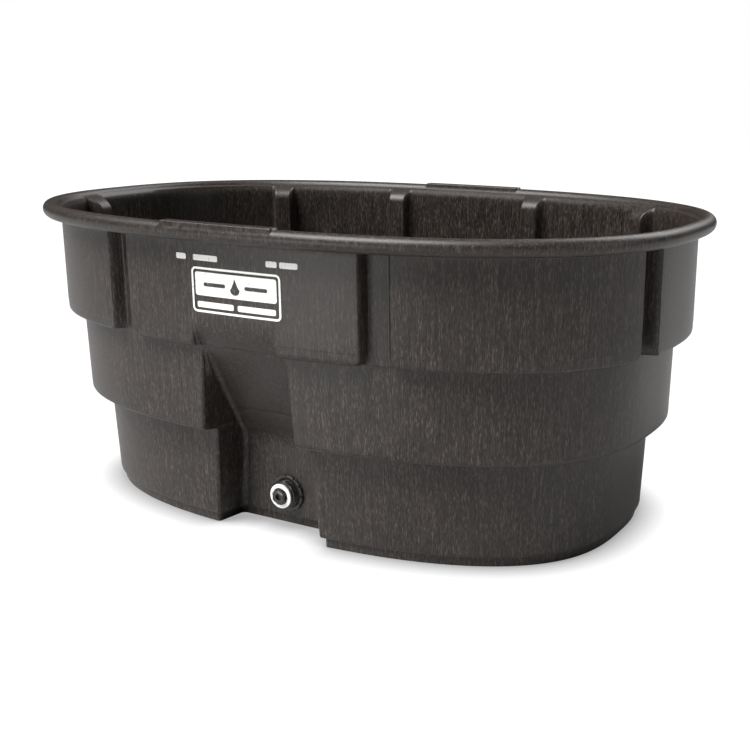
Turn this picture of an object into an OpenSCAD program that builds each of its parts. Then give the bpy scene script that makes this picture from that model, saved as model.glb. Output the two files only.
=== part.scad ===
// Oval livestock water trough: one moulded tank with a threaded drain in a
// recess of its front wall. Front is -Y, up is +Z, and the tank stands on z = 0.

/* [Tank outline] */
// Overall length across the rim
tank_len = 1473; // [1300:1:1600]
// Overall width across the rim
tank_wid = 991; // [900:1:1100]
// Overall height to the top of the grip pads
tank_h = 635; // [600:1:680]
// Squareness of the oval, where 2 is an ellipse
oval_power = 2.5; // [2.3:0.05:2.9]

/* [Tank walls] */
// Wall thickness
wall = 8; // [6:0.5:10]
// Floor thickness
floor_t = 12; // [9:1:14]
// Inset of the upper blocks from the rim edge
block_inset = 34; // [33:0.5:36]
// Further inset of the blocks on the long sides
block_side_inset = 11; // [0:1:14]
// Inset of the middle band from the rim edge
mid_inset = 72; // [68:1:76]
// Inset of the lower band from the rim edge
low_inset = 119; // [114:1:122]
// Inset of the foot from the rim edge
foot_inset = 132; // [130:1:138]
// Height of the underside of the upper blocks
block_z = 394; // [380:1:410]
// Height of the underside of the middle band
mid_z = 215; // [205:1:230]
// Height of the foot
foot_h = 20; // [16:1:24]

/* [Rim] */
// Radius of the rolled rim bead
bead_r = 16; // [15:0.5:16]
// Length of each grip pad on top of the rim
pad_len = 256; // [200:1:300]
// Height of each grip pad above the bead
pad_h = 3; // [2:0.5:4]
// Width of each grip pad
pad_wid = 25; // [20:1:28]

/* [Ribs] */
// Width of the floor of a rib groove
rib_floor = 42; // [36:1:48]
// Width of each sloping side of a rib groove
rib_side = 11; // [8:1:12]
// Distance of the long-side front ribs from the middle
front_rib_x = 308; // [290:1:330]
// Distance of the inner back ribs from the middle
back_rib_x = 192; // [180:1:210]
// Distance of the outer back ribs from the middle
back_outer_rib_x = 520; // [500:1:540]
// Distance of the end ribs in front of the middle
end_rib_y = 125; // [100:1:140]

/* [Drain recess] */
// Half width of the recess at its top
recess_top_half = 94; // [90:1:100]
// Half width of the recess at the foot
recess_foot_half = 122; // [116:1:126]
// Distance of the recess wall in front of the tank middle
recess_y = 300; // [296:1:306]
// Height at which the recess wall starts to slope outwards
recess_bend_z = 182; // [170:1:190]

/* [Drain fitting] */
// Height of the drain axis
drain_z = 69; // [66:1:74]
// Outer diameter of the spout thread
spout_d = 60; // [56:0.5:62]
// Distance that the spout stands out of the recess wall
spout_out = 24; // [23:1:28]
// Bore of the spout
bore_d = 34; // [30:0.5:36]
// Pitch of the coarse spout thread
spout_pitch = 3.5; // [3:0.5:4]
// Outer diameter of the locknut
nut_d = 78; // [72:1:80]
// Outer diameter of the inner flange
flange_d = 80; // [76:1:81]
// Outer diameter of the white seal ring
seal_d = 51; // [48:1:53]
// Width across the flats of the plug head
plug_af = 28; // [24:1:30]

/* [Label] */
// Width of the label
label_w = 210; // [180:1:220]
// Height of the label
label_h = 85; // [70:1:90]
// Distance of the label to the right of the middle
label_x = 12; // [0:1:20]
// Height of the middle of the label
label_z = 505; // [480:1:515]
// Height of the bars above the label
mark_h = 11; // [8:1:14]

/* [Hidden] */
$fn = 96;

rim_a = tank_len / 2;
rim_b = tank_wid / 2;
bead_top = tank_h - pad_h;
bead_z = bead_top - bead_r;
draft = 4;              // how far each band leans in from its top to its bottom
edge_r = 12;            // rounding of the lower edges of blocks and middle band
block_top_z = bead_z - bead_r;
fill_step = 62;         // longest spacing of columns between ribs
label_t = 0.6;
label_lift = 0.1;        // gap between the wall and the back of the label
frame_r = 10;
fit_gap = 0.3;

// ---------- outline ----------

function signed_power(v, p) = sign(v) * pow(abs(v), p);

// Point on the rim outline in direction phi
function rim_point(phi) =
    let (c = abs(cos(phi)) / rim_a, s = abs(sin(phi)) / rim_b,
         r = pow(pow(c, oval_power) + pow(s, oval_power), -1 / oval_power))
    [r * cos(phi), r * sin(phi)];

// Outward unit normal of the rim outline there
function rim_normal(phi) =
    let (q = rim_point(phi),
         g = [signed_power(q.x / rim_a, oval_power - 1) / rim_a,
              signed_power(q.y / rim_b, oval_power - 1) / rim_b])
    g / norm(g);

// Point at a true distance inside the rim outline; side is the share of the long-side inset
function inset_point(phi, inset, side = 0) =
    let (n = rim_normal(phi))
    rim_point(phi) - n * (inset + side * block_side_inset * pow(n.y, 4));

// Direction of the outline point that has a given x on the front or the back
function phi_at_x(x, front) =
    let (y = rim_b * pow(1 - pow(abs(x) / rim_a, oval_power), 1 / oval_power))
    atan2(front ? -y : y, x);

// Direction of the outline point that has a given y on the right or the left end
function phi_at_y(y, right) =
    let (x = rim_a * pow(1 - pow(abs(y) / rim_b, oval_power), 1 / oval_power))
    atan2(y, right ? x : -x);

// Degrees of direction for one millimetre along the outline
function phi_per_mm(phi) =
    let (q = rim_point(phi), n = rim_normal(phi))
    (q * n) / (q * q) * 180 / PI;

// ---------- columns ----------

// Rib directions, anticlockwise from the right end
RIB_PHI = [for (a = [
    phi_at_x(back_outer_rib_x, false), phi_at_x(back_rib_x, false),
    phi_at_x(-back_rib_x, false), phi_at_x(-back_outer_rib_x, false),
    phi_at_y(-end_rib_y, false), phi_at_x(-front_rib_x, true),
    phi_at_x(front_rib_x, true), phi_at_y(-end_rib_y, true)]) (a + 360) % 360];
RIBS = len(RIB_PHI);

rib_half = rib_floor / 2 + rib_side;
RIB_STEPS = [
    [-rib_half, 0], [-rib_half + rib_side * 0.3, 0.15],
    [-rib_half + rib_side * 0.75, 0.85], [-rib_floor / 2, 1],
    [rib_floor / 2, 1], [rib_half - rib_side * 0.75, 0.85],
    [rib_half - rib_side * 0.3, 0.15], [rib_half, 0]
];

// Each column is [direction, depth of the rib groove there from 0 to 1]
COLUMNS = [for (i = [0 : RIBS - 1])
    let (here = RIB_PHI[i],
         next = RIB_PHI[(i + 1) % RIBS] + (i == RIBS - 1 ? 360 : 0),
         from = here + rib_half * phi_per_mm(here),
         to = next - rib_half * phi_per_mm(next),
         run = (to - from) / phi_per_mm((from + to) / 2),
         fills = 2 * ceil(run / fill_step / 2))
    each concat(
        [for (s = RIB_STEPS) [here + s[0] * phi_per_mm(here), s[1]]],
        [for (j = [1 : fills - 1]) [from + (to - from) * j / fills, 0]])];

// ---------- wall section ----------
// Each ring is [inset of the blocks, inset of the ribs, height, share of the long-side inset]

function ring(inset, z) = [inset, inset, z, 0];

FOOT_RINGS = [
    ring(foot_inset, 0), ring(foot_inset - 1, foot_h),
    ring(low_inset + draft + 4, foot_h + 1), ring(low_inset + draft + 0.7, foot_h + 5),
    ring(low_inset + draft, foot_h + 12)
];
LOW_RINGS = [
    ring(low_inset - draft, mid_z - 14), ring(low_inset - draft - 1.5, mid_z - 7),
    ring(low_inset - draft - 7, mid_z - 3)
];
MID_RINGS = [
    ring(mid_inset + draft / 2 + 8, mid_z), ring(mid_inset + draft / 2 + 2, mid_z + 5),
    ring(mid_inset + draft / 2, mid_z + 12), ring(mid_inset - draft / 2, block_z - 5)
];
function block_ring(d, z) = [block_inset + d, mid_inset - draft / 2 - 1, z, 1];
BLOCK_RINGS = [
    block_ring(edge_r, block_z), block_ring(edge_r * 0.3, block_z + edge_r * 0.3),
    block_ring(1, block_z + edge_r), block_ring(0, block_top_z - 3)
];
BEAD_RINGS = [for (a = [-20 : -32 : -340])
    ring(bead_r * (1 + cos(a)), bead_z + bead_r * sin(a))];
function inner_ring(block, rib, z) = [block_inset + block, mid_inset + rib, z, 1];
INNER_RINGS = [
    inner_ring(wall - 5, -28, bead_z + 2), inner_ring(wall - 1, -6, bead_z - 8),
    inner_ring(wall, wall - 4, bead_z - 22), inner_ring(wall + 1, wall - 2, block_z + 22),
    inner_ring(wall + 6, wall - 2, block_z + 11),
    ring(mid_inset + wall - draft / 2 - 4, block_z + 7),
    ring(mid_inset + wall - draft / 2, block_z - 2),
    ring(mid_inset + wall + draft / 2, mid_z + 18),
    ring(mid_inset + wall + 7, mid_z + 9),
    ring(low_inset + wall - draft - 5, mid_z + 4),
    ring(low_inset + wall - draft, mid_z - 5),
    ring(low_inset + wall + draft, foot_h + 38),
    ring(low_inset + wall + draft + 8, foot_h + 16),
    ring(low_inset + wall + draft + 26, floor_t)
];
OUTER_RINGS = concat(FOOT_RINGS, LOW_RINGS, MID_RINGS, BLOCK_RINGS);

function ring_points(r) = [for (c = COLUMNS)
    let (q = inset_point(c[0], r[0] + (r[1] - r[0]) * c[1], r[3] * (1 - c[1])))
    [q.x, q.y, r[2]]];

// Closed solid through a stack of rings, with a flat face on its first and last
module ring_stack(rings) {
    cols = len(COLUMNS);
    last = len(rings) - 1;
    points = [for (r = rings) each ring_points(r)];
    sides = [for (k = [0 : last - 1]) for (i = [0 : cols - 1])
        let (a = k * cols + i, b = k * cols + (i + 1) % cols)
        each [[a, a + cols, b + cols], [a, b + cols, b]]];
    under = [for (i = [0 : cols - 1]) i];
    over = [for (i = [cols - 1 : -1 : 0]) last * cols + i];
    polyhedron(points, concat([under, over], sides), convexity = 10);
}

// ---------- drain recess ----------

recess_top_z = block_z - 2;
recess_top_y = rim_b - mid_inset + draft / 2 + 1;
reach = 90;      // how far the cutting shape stands out in front of the wall

// Cutting shape of the recess, or with grow the outside of its inner lining
module recess_shape(grow) {
    slope_lift = grow * 1.6;
    intersection() {
        rotate([90, 0, 90])
            linear_extrude(height = 2 * recess_foot_half + 4 * grow + 20, center = true)
                polygon([
                    [-recess_top_y - reach, -2], [-recess_y + grow, -2],
                    [-recess_y + grow, recess_bend_z + grow * 0.5],
                    [-recess_top_y, recess_top_z + slope_lift],
                    [-recess_top_y - reach, recess_top_z + slope_lift]
                ]);
        rotate([90, 0, 0])
            linear_extrude(height = recess_top_y + reach)
                polygon([
                    [-recess_foot_half - grow, -2], [recess_foot_half + grow, -2],
                    [recess_foot_half + grow, foot_h],
                    [recess_top_half + grow, recess_top_z + slope_lift],
                    [-recess_top_half - grow, recess_top_z + slope_lift],
                    [-recess_foot_half - grow, foot_h]
                ]);
    }
}

// Cutting shape of the recess round the foot, which is set further back
module foot_recess_shape(grow) {
    foot_step = 8;
    half = recess_foot_half + foot_step + grow;
    translate([-half, -recess_top_y - reach, -1])
        cube([2 * half, recess_top_y + reach - recess_y + foot_step + grow,
            foot_h + grow + 1]);
}

// The one-piece moulding, without its drain hole
module moulding() {
    difference() {
        union() {
            ring_stack(concat(OUTER_RINGS, BEAD_RINGS, INNER_RINGS));
            intersection() {
                union() {
                    recess_shape(wall);
                    foot_recess_shape(wall);
                }
                ring_stack(OUTER_RINGS);
            }
            for (front = [true, false]) grip_pad(front);
        }
        recess_shape(0);
        foot_recess_shape(0);
    }
}

module tank_body() {
    color("#3a3735")
    difference() {
        resize([tank_len, tank_wid, tank_h]) moulding();
        drain_axis(wall + 2) cylinder(d = spout_d + 2 * fit_gap, h = wall + 4);
    }
}

module grip_pad(front) {
    dir = front ? 270 : 90;
    half = pad_len / 2 * phi_per_mm(dir);
    near = bead_r - pad_wid / 2;
    translate([0, 0, bead_z])
        linear_extrude(height = bead_r + pad_h)
            polygon(concat(
                [for (t = [-1 : 0.125 : 1]) inset_point(dir + half * t, near)],
                [for (t = [1 : -0.125 : -1]) inset_point(dir + half * t, near + pad_wid)]));
}

// ---------- drain fitting ----------
// Axial places are measured out of the recess wall, towards the front

module drain_axis(inside) {
    translate([0, -recess_y + inside, drain_z]) rotate([90, 0, 0]) children();
}

gasket_t = 3;
washer_t = 2;
nut_t = 5;
flange_t = 6;
seal_t = 3;
shank_len = 16;
head_out = 8;
thread_depth = 2.4;

module drain_spout() {
    inside = wall + gasket_t + flange_t;
    body_r = spout_d / 2 - thread_depth;
    length = inside + spout_out;
    thread_from = inside + washer_t + nut_t + 0.5;
    turns = floor((length - thread_from) / spout_pitch);
    color("#2b2a29")
    drain_axis(inside) difference() {
        union() {
            cylinder(d = flange_d, h = flange_t);
            cylinder(r = body_r, h = length);
            translate([0, 0, flange_t])
                cylinder(d = spout_d, h = thread_from - flange_t - 0.5);
            for (k = [0 : turns - 1]) translate([0, 0, thread_from + k * spout_pitch])
                thread_crest(body_r);
        }
        translate([0, 0, -1]) cylinder(d = bore_d, h = length + 2);
    }
}

module thread_crest(root_r) {
    rotate_extrude()
        polygon([
            [root_r - 1, 0], [root_r, 0], [root_r + thread_depth, spout_pitch * 0.35],
            [root_r + thread_depth, spout_pitch * 0.5], [root_r, spout_pitch * 0.85],
            [root_r - 1, spout_pitch * 0.85]
        ]);
}

module flat_ring(outer_d, inner_d, t) {
    difference() {
        cylinder(d = outer_d, h = t);
        translate([0, 0, -1]) cylinder(d = inner_d, h = t + 2);
    }
}

module spout_gasket() {
    color("#1c1c1c")
    drain_axis(wall + gasket_t) flat_ring(flange_d - 4, spout_d + 2 * fit_gap, gasket_t);
}

module slip_washer() {
    color("#8f8d88")
    drain_axis(0) flat_ring(nut_d - 2, spout_d + 2 * fit_gap, washer_t);
}

module spout_locknut() {
    notches = 12;
    color("#262524")
    drain_axis(-washer_t) difference() {
        flat_ring(nut_d, spout_d + 2 * fit_gap, nut_t);
        for (k = [0 : notches - 1]) rotate([0, 0, k * 360 / notches])
            translate([nut_d / 2 + 1.5, 0, -1]) cylinder(d = 7, h = nut_t + 2);
    }
}

module plug_seal() {
    color("#f2f1ed")
    drain_axis(-spout_out) flat_ring(seal_d, bore_d - 1, seal_t);
}

module drain_plug() {
    socket_af = 12;
    head_r = plug_af / 2 / cos(30);
    color("#1f1e1d")
    drain_axis(-spout_out + shank_len) difference() {
        union() {
            cylinder(d = bore_d - 2 * fit_gap - 1.4, h = shank_len + seal_t);
            translate([0, 0, shank_len + seal_t]) {
                cylinder(d = plug_af + 8, h = 1.5);
                cylinder(r = head_r, h = head_out, $fn = 6);
            }
        }
        translate([0, 0, shank_len + seal_t + head_out - 6])
            cylinder(r = socket_af / 2 / cos(30), h = 7, $fn = 6);
    }
}

// ---------- label and marks ----------

// Thin patch that lies on the front wall; span is [middle x, half width],
// low and high give its lower and upper edge for a share from -1 to 1 across
module wall_patch(mid_x, half, lift, low, high) {
    n = len(low) - 1;
    dirs = [for (i = [0 : n]) phi_at_x(mid_x + half * low[i][0], true)];
    function skin(i, d, z) =
        let (q = inset_point(dirs[i], block_inset - d, 1)) [q.x, q.y, z];
    points = [for (i = [0 : n]) each [
        skin(i, lift, low[i][1]), skin(i, lift, high[i][1]),
        skin(i, lift + label_t, high[i][1]), skin(i, lift + label_t, low[i][1])]];
    sides = [for (i = [0 : n - 1]) for (j = [0 : 3])
        let (a = 4 * i + j, b = 4 * i + (j + 1) % 4)
        each [[a, b, b + 4], [a, b + 4, a + 4]]];
    polyhedron(points, concat([[3, 2, 1, 0], [for (j = [0 : 3]) 4 * n + j]], sides));
}

// Edge of a rounded rectangle: share across and height
function rounded_edge(half_w, half_h, r, mid_z, up) =
    let (side = up ? 1 : -1,
         arc = [for (a = [80 : -20 : 0])
             [half_w - r + r * sin(a), half_h - r + r * cos(a)]])
    concat(
        [for (q = arc) [-q[0] / half_w, mid_z + side * q[1]]],
        [for (t = [-0.6 : 0.2 : 0.6]) [t * (half_w - r) / half_w, mid_z + side * half_h]],
        [for (i = [len(arc) - 1 : -1 : 0]) [arc[i][0] / half_w, mid_z + side * arc[i][1]]]);

module rounded_patch(mid_x, mid_z, w, h, r, lift) {
    wall_patch(mid_x, w / 2, lift,
        rounded_edge(w / 2, h / 2, r, mid_z, false),
        rounded_edge(w / 2, h / 2, r, mid_z, true));
}

// Edge of a rounded rectangle as a closed loop of [x, z]
function rounded_loop(w, h, r) = let (n = 8) concat(
    [for (a = [0 : 22.5 : 90]) [w / 2 - r + r * sin(a), h / 2 - r + r * cos(a)]],
    [for (a = [90 : 22.5 : 180]) [w / 2 - r + r * sin(a), -h / 2 + r + r * cos(a)]],
    [for (i = [1 : n - 1]) [(w / 2 - r) * (1 - 2 * i / n), -h / 2]],
    [for (a = [180 : 22.5 : 270]) [-w / 2 + r + r * sin(a), -h / 2 + r + r * cos(a)]],
    [for (a = [270 : 22.5 : 360]) [-w / 2 + r + r * sin(a), h / 2 - r + r * cos(a)]],
    [for (i = [1 : n - 1]) [(w / 2 - r) * (2 * i / n - 1), h / 2]]);

// White outline of the label
module label_frame() {
    line = 4;
    outer = rounded_loop(label_w, label_h, frame_r);
    inner = rounded_loop(label_w - 2 * line, label_h - 2 * line, frame_r - line);
    n = len(outer);
    function skin(q, d) =
        let (p = inset_point(phi_at_x(label_x + q[0], true), block_inset - d, 1))
        [p.x, p.y, label_z + q[1]];
    points = [for (i = [0 : n - 1]) each [
        skin(outer[i], label_lift), skin(outer[i], label_lift + label_t),
        skin(inner[i], label_lift + label_t), skin(inner[i], label_lift)]];
    color("#efeeea")
    polyhedron(points, [for (i = [0 : n - 1]) for (j = [0 : 3])
        let (a = 4 * i + j, b = 4 * i + (j + 1) % 4,
             c = (a + 4) % (4 * n), d = (b + 4) % (4 * n))
        each [[a, c, d], [a, d, b]]]);
}

// Plain white panel in the upper part of the outline, and two bars below it
module label_field() {
    panel_h = 44;
    panel_z = label_z + label_h / 2 - 9 - panel_h / 2;
    bar_z = label_z - label_h / 2 + 15;
    color("#efeeea") {
        rounded_patch(label_x, panel_z, label_w - 18, panel_h, 5, label_lift);
        for (side = [-1, 1])
            rounded_patch(label_x + side * 49, bar_z, 88, 11, 3, label_lift);
    }
}

// Water drop between two plain level bars, on the panel
module label_pictogram() {
    drop_w = 22;
    drop_z = label_z + 6;
    drop_h = 20;
    shares = [for (t = [-0.98 : 0.14 : 0.98]) t];
    color("#2b2a29") {
        wall_patch(label_x, drop_w / 2, label_lift + label_t + 0.02,
            [for (t = shares) [t, drop_z - drop_w / 2 * sqrt(1 - t * t) * 0.9]],
            [for (t = shares) [t, drop_z + drop_h * pow(1 - abs(t), 1.5) + 0.5]]);
        for (side = [-1, 1])
            rounded_patch(label_x + side * 49, label_z + 11, 52, 7, 3,
                label_lift + label_t + 0.02);
    }
}

// Plain bars in place of the capacity marks, a short and a long one on each side
module capacity_marks() {
    mark_z = label_z + 60;
    color("#efeeea")
    for (bar = [[-130, 25], [-69, 60], [86, 25], [124, 40]])
        rounded_patch(label_x + bar[0], mark_z, bar[1], mark_h, 3, label_lift);
}

tank_body();
drain_spout();
spout_gasket();
slip_washer();
spout_locknut();
drain_plug();
plug_seal();
label_frame();
label_field();
label_pictogram();
capacity_marks();
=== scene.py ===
"""Looks of an oval moulded water trough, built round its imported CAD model.

Every length in this file is in millimetres until build_mesh() turns it to metres.
Front is -Y, up is +Z, and the trough stands on z = 0.
"""

import math

import bmesh
import bpy
import numpy as np
from mathutils import Euler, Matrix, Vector


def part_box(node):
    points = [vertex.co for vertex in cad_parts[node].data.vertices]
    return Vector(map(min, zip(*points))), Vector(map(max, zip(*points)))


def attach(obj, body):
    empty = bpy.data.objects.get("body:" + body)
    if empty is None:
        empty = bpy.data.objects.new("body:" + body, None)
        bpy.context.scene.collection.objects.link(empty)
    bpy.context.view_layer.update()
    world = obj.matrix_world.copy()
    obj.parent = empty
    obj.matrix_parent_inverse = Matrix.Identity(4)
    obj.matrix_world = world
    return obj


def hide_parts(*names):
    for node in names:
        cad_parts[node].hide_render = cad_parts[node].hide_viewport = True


bl_info = {
    "name": "Oval water trough",
    "version": (1, 0, 0),
    "blender": (4, 5, 0),
    "location": "View3D > Sidebar > Trough",
    "description": "Builds the moulded tank, its drain fitting, its label and a studio",
    "category": "Add Mesh",
}

MM = 0.001
SMOOTH_ANGLE = 35.0      # faces that meet at more than this many degrees keep a sharp edge
SKIN_GLOSS = 0.36        # how strongly the skin of the tank mirrors its surroundings
PAPER_SHOWN = 0.06       # share of the fallen light that the paper shows on top of its white
PAPER_GIVEN = 0.46       # share of that light that the paper passes on to the trough
PAINTED_SHADOW_REACH = 80.0      # how far the painted soft shadow on the paper reaches from the trough, in mm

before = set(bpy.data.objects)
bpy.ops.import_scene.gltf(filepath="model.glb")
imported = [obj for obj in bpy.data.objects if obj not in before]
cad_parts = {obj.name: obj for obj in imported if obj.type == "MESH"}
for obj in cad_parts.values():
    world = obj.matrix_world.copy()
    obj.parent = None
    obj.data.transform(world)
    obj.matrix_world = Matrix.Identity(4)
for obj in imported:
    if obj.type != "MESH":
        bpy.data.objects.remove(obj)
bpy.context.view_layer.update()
TANK_LOW, TANK_HIGH = (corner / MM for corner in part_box("tank_body"))
SPOUT_LOW, SPOUT_HIGH = (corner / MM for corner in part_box("drain_spout"))


# ---------- settings ----------

class TankSettings(bpy.types.PropertyGroup):
    """Sizes of the moulded tank, in millimetres, and its colour."""

    length: bpy.props.FloatProperty(
        name="Length", description="Overall length across the rim, in mm",
        default=TANK_HIGH.x - TANK_LOW.x, min=1300.0, max=1600.0)
    width: bpy.props.FloatProperty(
        name="Width", description="Overall width across the rim, in mm",
        default=TANK_HIGH.y - TANK_LOW.y, min=900.0, max=1100.0)
    height: bpy.props.FloatProperty(
        name="Height", description="Height to the top of the grip pads, in mm",
        default=TANK_HIGH.z - TANK_LOW.z, min=600.0, max=680.0)
    oval_power: bpy.props.FloatProperty(
        name="Squareness", description="Power of the oval, where 2 is an ellipse",
        default=2.5, min=2.3, max=2.9)
    rib_corner: bpy.props.FloatProperty(
        name="Block corner", description="Radius of the lower corners of the upper blocks, in mm",
        default=16.0, min=2.0, max=30.0)
    grain_width: bpy.props.FloatProperty(
        name="Grain width", description="Width of one vertical streak of the moulded skin, in mm",
        default=1.9, min=1.0, max=20.0)
    colour: bpy.props.StringProperty(
        name="Colour", description="Colour of the tank, as an sRGB hex value",
        default="27221f")


class FittingSettings(bpy.types.PropertyGroup):
    """Sizes of the drain fitting, in millimetres, and its colours."""

    axis_z: bpy.props.FloatProperty(
        name="Axis height", description="Height of the drain axis, in mm",
        default=(SPOUT_LOW.z + SPOUT_HIGH.z) / 2, min=60.0, max=80.0)
    thread_pitch: bpy.props.FloatProperty(
        name="Thread pitch", description="Pitch of the coarse spout thread, in mm",
        default=3.5, min=2.0, max=5.0)
    notches: bpy.props.IntProperty(
        name="Nut notches", description="Number of finger notches round the locknut",
        default=12, min=6, max=24)
    black: bpy.props.StringProperty(
        name="Black", description="Colour of the black fittings, as an sRGB hex value",
        default="262423")
    white: bpy.props.StringProperty(
        name="White", description="Colour of the white seal and the label, as an sRGB hex value",
        default="f4f3ef")


class StudioSettings(bpy.types.PropertyGroup):
    """Camera and light of the studio."""

    azimuth: bpy.props.FloatProperty(
        name="Azimuth", description="Direction of the camera round the trough, 0 in front of it",
        default=math.radians(29.34), subtype="ANGLE")
    elevation: bpy.props.FloatProperty(
        name="Elevation", description="Angle of the camera's line of sight below the horizon",
        default=math.radians(15.0), subtype="ANGLE")
    roll: bpy.props.FloatProperty(
        name="Roll", description="Turn of the camera about its line of sight",
        default=math.radians(0.31), subtype="ANGLE")
    place: bpy.props.FloatVectorProperty(
        name="Camera place", description="Where the camera stands",
        default=(1.3655, -2.0361, 0.8746), subtype="TRANSLATION", unit="LENGTH")
    lens: bpy.props.FloatProperty(
        name="Lens", description="Focal length on a 36 mm sensor, in mm",
        default=54.35, min=20.0, max=200.0)
    shift: bpy.props.FloatVectorProperty(
        name="Shift", description="Shift of the picture across and up, in picture widths",
        default=(-0.1067, 0.0187), size=2)


# ---------- small tools ----------

def linear(code):
    """sRGB hex value to linear RGBA."""
    parts = [int(code[i:i + 2], 16) / 255 for i in (0, 2, 4)]
    curve = [c / 12.92 if c <= 0.04045 else ((c + 0.055) / 1.055) ** 2.4 for c in parts]
    return (*curve, 1.0)


def ease(t):
    """Smooth step from 0 to 1."""
    t = np.clip(t, 0.0, 1.0)
    return t * t * (3 - 2 * t)


def build_mesh(name, points, faces, material):
    """Object with that mesh, given in millimetres, shaded smooth but for its sharp edges."""
    mesh = bpy.data.meshes.new(name)
    mesh.from_pydata((np.asarray(points, float) * MM).tolist(), [], faces)
    mesh.validate()
    work = bmesh.new()
    work.from_mesh(mesh)
    bmesh.ops.recalc_face_normals(work, faces=work.faces)
    work.to_mesh(mesh)
    work.free()
    piece = bpy.data.objects.new(name, mesh)
    bpy.context.scene.collection.objects.link(piece)
    shade(piece, SMOOTH_ANGLE)
    mesh.materials.append(material)
    return piece


def shade(piece, sharp_angle):
    """Shades the piece smooth, with sharp edges above that angle in degrees."""
    mesh = piece.data
    mesh.polygons.foreach_set("use_smooth", [True] * len(mesh.polygons))
    mesh.set_sharp_from_angle(angle=math.radians(sharp_angle))
    mesh.update()


def grid_faces(rows, columns, closed_rows):
    """Quads over rows of points, each row a closed loop, the rows closed into a ring or not."""
    faces = []
    for row in range(rows if closed_rows else rows - 1):
        here = row * columns
        above = (row + 1) % rows * columns
        for i in range(columns):
            j = (i + 1) % columns
            faces.append((here + i, here + j, above + j, above + i))
    return faces


def add_node(tree, kind, settings=None, sockets=None):
    """Adds a shader node: settings are its properties, sockets its values or incoming links."""
    made = tree.nodes.new(kind)
    for key, value in (settings or {}).items():
        setattr(made, key, value)
    for key, value in (sockets or {}).items():
        if isinstance(value, bpy.types.NodeSocket):
            tree.links.new(value, made.inputs[key])
        else:
            made.inputs[key].default_value = value
    return made


def ramp_stops(node, stops):
    """Sets a colour ramp's stops, each a place and a linear colour."""
    elements = node.color_ramp.elements
    while len(elements) < len(stops):
        elements.new(0.5)
    for element, (place, colour) in zip(elements, stops):
        element.position = place
        element.color = colour


def grey(value):
    """Linear grey as RGBA."""
    return (value, value, value, 1.0)


def shade_of(colour, factor):
    """A linear colour made lighter or darker."""
    return (*(min(1.0, c * factor) for c in colour[:3]), 1.0)


# ---------- materials ----------

def new_material(name, finish):
    """Empty node material with its shader, that has those values, and object coordinates."""
    material = bpy.data.materials.new(name)
    material.use_nodes = True
    tree = material.node_tree
    tree.nodes.clear()
    shader = add_node(tree, "ShaderNodeBsdfPrincipled", sockets=finish)
    add_node(tree, "ShaderNodeOutputMaterial", sockets={"Surface": shader.outputs["BSDF"]})
    place = add_node(tree, "ShaderNodeTexCoord").outputs["Object"]
    return material, tree, shader, place


def foam_polyethylene(settings):
    """Structural-foam polyethylene: swirled skin drawn into fine vertical streaks, a low
    sheen that changes along the streaks, and pale hairline scuffs from handling.
    A streak of the real skin is about 2 mm wide and 12 mm long, a scuff under 1 mm wide;
    the scuffs are drawn at 1.3 and 1.6 mm, so that they show."""
    material, tree, shader, place = new_material(
        "foam_moulded_polyethylene", {"IOR": 1.51, "Specular IOR Level": SKIN_GLOSS})
    base = linear(settings.colour)
    width = settings.grain_width
    # size of a noise cell in mm, turn of its axes in degrees, detail
    patterns = (
        ((width, width, 6 * width), (0, 0, 0), 3.0),
        ((2.5 * width, 2.5 * width, 40 * width), (0, 0, 0), 2.0),
        ((160, 160, 260), (0, 0, 0), 2.0),
        ((260, 260, 1.6), (0, 24, 16), 1.0),
        ((200, 200, 1.3), (12, -38, 0), 1.0))
    layers = []
    for size, turn, detail in patterns:
        along = add_node(
            tree, "ShaderNodeMapping", {"vector_type": "TEXTURE"},
            {"Vector": place, "Rotation": [math.radians(a) for a in turn],
             "Scale": [s * MM for s in size]})
        layers.append(add_node(
            tree, "ShaderNodeTexNoise", None,
            {"Vector": along.outputs[0], "Scale": 1.0, "Detail": detail,
             "Roughness": 0.6}).outputs["Fac"])
    streaks, drawn, clouds, scuff_one, scuff_two = layers
    grain = add_node(
        tree, "ShaderNodeMix", None, {0: 0.3, 2: streaks, 3: drawn}).outputs[0]
    tone = add_node(tree, "ShaderNodeValToRGB", None, {"Fac": grain})
    ramp_stops(tone, [
        (0.36, shade_of(base, 0.2)), (0.47, shade_of(base, 0.7)),
        (0.55, shade_of(base, 1.6)), (0.64, shade_of(base, 4.2))])
    patches = add_node(
        tree, "ShaderNodeMapRange", None,
        {"Value": clouds, "From Min": 0.35, "From Max": 0.68, "To Max": 0.3})
    cloudy = add_node(
        tree, "ShaderNodeMix", {"data_type": "RGBA"},
        {0: patches.outputs[0], 6: tone.outputs[0], 7: shade_of(base, 1.4)})
    scuffs = add_node(
        tree, "ShaderNodeMath", {"operation": "MAXIMUM"}, {0: scuff_one, 1: scuff_two})
    lines = add_node(
        tree, "ShaderNodeMapRange", None,
        {"Value": scuffs.outputs[0], "From Min": 0.76, "From Max": 0.79, "To Max": 0.3})
    worn = add_node(
        tree, "ShaderNodeMix", {"data_type": "RGBA"},
        {0: lines.outputs[0], 6: cloudy.outputs[2], 7: shade_of(base, 3.2)})
    tree.links.new(worn.outputs[2], shader.inputs["Base Color"])
    dull = add_node(
        tree, "ShaderNodeMapRange", None,
        {"Value": grain, "From Min": 0.35, "From Max": 0.68, "To Min": 0.36, "To Max": 0.52})
    tree.links.new(dull.outputs[0], shader.inputs["Roughness"])
    relief = add_node(
        tree, "ShaderNodeBump", None,
        {"Height": grain, "Strength": 0.85, "Distance": 0.45 * MM})
    tree.links.new(relief.outputs[0], shader.inputs["Normal"])
    return material


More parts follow.
